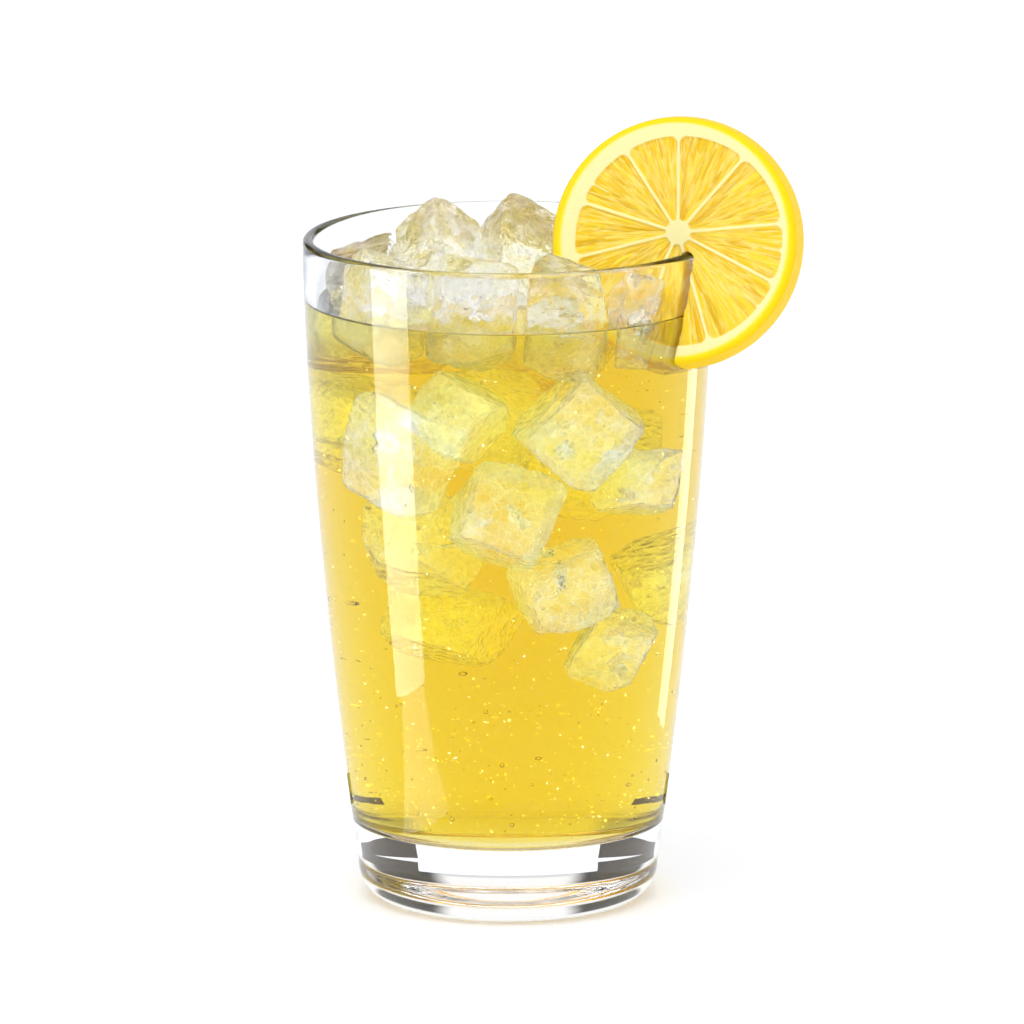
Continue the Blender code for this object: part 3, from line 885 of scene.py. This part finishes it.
# The table and the lamps. A matt white table under a big soft lamp, and soft strips of light
# that the glass mirrors, two on the left, one of them lying on the table, and one on the right.
TABLE_HALF = 6.0
TABLE_BELOW = 0.02 * MM
TABLE_COLOUR = (0.66, 0.69, 0.76)
TABLE_GLOW = 0.30  # it stands out of the frame's light, as white as the background
LOW_STRIP_TURN = math.radians(20.6)

table_material, table_shader = new_material("white table", TABLE_COLOUR, 0.9, 1.45)
table_shader.inputs["Specular IOR Level"].default_value = 0.0
table_shader.inputs["Emission Color"].default_value = (1, 1, 1, 1)
table_shader.inputs["Emission Strength"].default_value = TABLE_GLOW
table_mesh = bpy.data.meshes.new("table")
table_corners = [(x * TABLE_HALF, y * TABLE_HALF) for x, y in ((-1, -1), (1, -1), (1, 1), (-1, 1))]
table_mesh.from_pydata([(x, y, -TABLE_BELOW) for x, y in table_corners], [], [(0, 1, 2, 3)])
table = add_piece("table", table_mesh, table_material)


def add_lamp(name, place, aim, width, height, watts):
    """A soft rectangular lamp at a place, turned towards an aim."""
    light = bpy.data.lights.new(name, "AREA")
    light.shape = "RECTANGLE"
    light.size = width
    light.size_y = height
    light.energy = watts
    lamp = bpy.data.objects.new(name, light)
    bpy.context.scene.collection.objects.link(lamp)
    lamp.location = place
    lamp.rotation_euler = (Vector(aim) - Vector(place)).to_track_quat("-Z", "Y").to_euler()
    return lamp


add_lamp("soft_lamp", (-0.12, -0.55, 1.90), (0, 0, 0.08), 1.3, 1.3, 9.5)
left_strip = add_lamp(
    "left_strip", (-0.134, -0.074, 0.175), (-0.022, -0.032, 0.175), 0.058, 0.35, 0.65
)
right_strip = add_lamp(
    "right_strip", (0.126, 0.064, 0.175), (0.036, -0.016, 0.175), 0.030, 0.35, 0.10
)
low_strip = add_lamp(
    "low_left_strip", (-0.0945, -0.063, 0.0005), (-0.0945, -0.063, 1), 0.084, 0.044, 0.040
)
low_strip.rotation_euler = (math.pi, 0, LOW_STRIP_TURN)
for strip in (left_strip, right_strip, low_strip):  # they show only as reflections
    strip.visible_camera = False
    strip.visible_diffuse = False
    strip.visible_transmission = False


# The grey cards. Two low strips of grey card, bent to an arc and stood on the table behind the
# foot. They show only through the foot, as its dark ends.
CARD_DISTANCE = 85 * MM
CARD_BOTTOM = 0.2 * MM
CARD_TOP = 7.5 * MM
CARD_FIRST_TURN = math.radians(13)  # from straight behind the glass
CARD_LAST_TURN = math.radians(46)
CARD_STEPS = 19

card_material, card_shader = new_material("grey card", (0.11, 0.10, 0.09), 1.0, 1.45)
card_shader.inputs["Specular IOR Level"].default_value = 0.0
card_places, card_faces = [], []
for side in (-1, 1):
    first = len(card_places)
    for turn in np.linspace(CARD_FIRST_TURN, CARD_LAST_TURN, CARD_STEPS + 1):
        x, y = side * CARD_DISTANCE * math.sin(turn), CARD_DISTANCE * math.cos(turn)
        card_places += [(x, y, CARD_BOTTOM), (x, y, CARD_TOP)]
    for i in range(first, first + 2 * CARD_STEPS, 2):
        card_faces.append((i, i + 1, i + 3, i + 2))
card_mesh = bpy.data.meshes.new("grey cards")
card_mesh.from_pydata(card_places, [], card_faces)
cards = add_piece("grey cards", card_mesh, card_material)
cards.visible_camera = False
cards.visible_diffuse = False
cards.visible_shadow = False


# The room. White all round the camera's view, but dark in its far corners and low on its far
# wall, which draws the dark lines along the glass's edges, rim and foot.
CORNER_START = (0.26, 0.40)  # where it darkens, in radians from straight behind the glass
CORNER_END = (1.00, 0.86)  # and where it is white again
CORNER_TOP = (0.34, 0.26)  # the height of a direction, 1 straight up
WALL_TOP = (0.045, 0.015)
WALL_DARKNESS = 0.32
CORNER_DARKNESS = 0.92

world = bpy.data.worlds.new("studio")
bpy.context.scene.world = world
world.use_nodes = True
sky = world.node_tree
sky.nodes["Background"].inputs["Color"].default_value = (1, 1, 1, 1)


def sky_math(operation, first, second=None):
    """A sum on the room's light; each value is a number or a socket."""
    node = sky.nodes.new("ShaderNodeMath")
    node.operation = operation
    for value, socket in ((first, node.inputs[0]), (second, node.inputs[1])):
        if isinstance(value, float):
            socket.default_value = value
        elif value is not None:
            sky.links.new(value, socket)
    return node.outputs["Value"]


def sky_spread(value, low, high):
    """A share that goes softly from 0 to 1 while the value goes from low to high."""
    node = sky.nodes.new("ShaderNodeMapRange")
    node.interpolation_type = "SMOOTHSTEP"
    node.inputs["From Min"].default_value = low
    node.inputs["From Max"].default_value = high
    sky.links.new(value, node.inputs["Value"])
    return node.outputs["Result"]


sky_place = sky.nodes.new("ShaderNodeTexCoord")
sky_axes = sky.nodes.new("ShaderNodeSeparateXYZ")
sky.links.new(sky_place.outputs["Generated"], sky_axes.inputs["Vector"])
aside = sky_math("ABSOLUTE", sky_axes.outputs["X"])
azimuth = sky_math("ARCTAN2", aside, sky_axes.outputs["Y"])
height_in_room = sky_axes.outputs["Z"]
behind = sky_spread(azimuth, *CORNER_END)
dark_corner = sky_math("MULTIPLY", sky_spread(azimuth, *CORNER_START), behind)
dark_corner = sky_math("MULTIPLY", dark_corner, sky_spread(height_in_room, *CORNER_TOP))
dark_far_wall = sky_math("MULTIPLY", behind, sky_spread(height_in_room, *WALL_TOP))
dark_far_wall = sky_math("MULTIPLY", dark_far_wall, WALL_DARKNESS)
darkness = sky_math("MAXIMUM", dark_corner, dark_far_wall)
room_light = sky_math("SUBTRACT", 1.0, sky_math("MULTIPLY", darkness, CORNER_DARKNESS))
seen = sky.nodes.new("ShaderNodeLightPath")
room_light = sky_math("MAXIMUM", room_light, seen.outputs["Is Camera Ray"])
sky.links.new(room_light, sky.nodes["Background"].inputs["Strength"])

scene = bpy.context.scene
scene.view_settings.view_transform = "Standard"
scene.cycles.blur_glossy = 0.0  # else what stands behind glass is too dark
scene.cycles.adaptive_threshold = 0.25  # even areas end early, with fewer samples than asked
scene.cycles.max_bounces = 20
scene.cycles.transmission_bounces = 20
scene.cycles.glossy_bounces = 12
scene.cycles.diffuse_bounces = 4
scene.cycles.transparent_max_bounces = 16


# The camera, a long lens in front of the glass and a little above it.
LENS = 363.1
CAMERA_PLACE = (0.85 * MM, -2.175, 0.5454)
LOOKS_DOWN = math.radians(11.98)

camera = bpy.data.objects.new("camera", bpy.data.cameras.new("camera"))
scene.collection.objects.link(camera)
camera.data.sensor_width = 36
camera.data.lens = LENS
camera.data.clip_end = 50
camera.location = CAMERA_PLACE
camera.rotation_euler = (math.radians(90) - LOOKS_DOWN, 0, 0)
scene.camera = camera
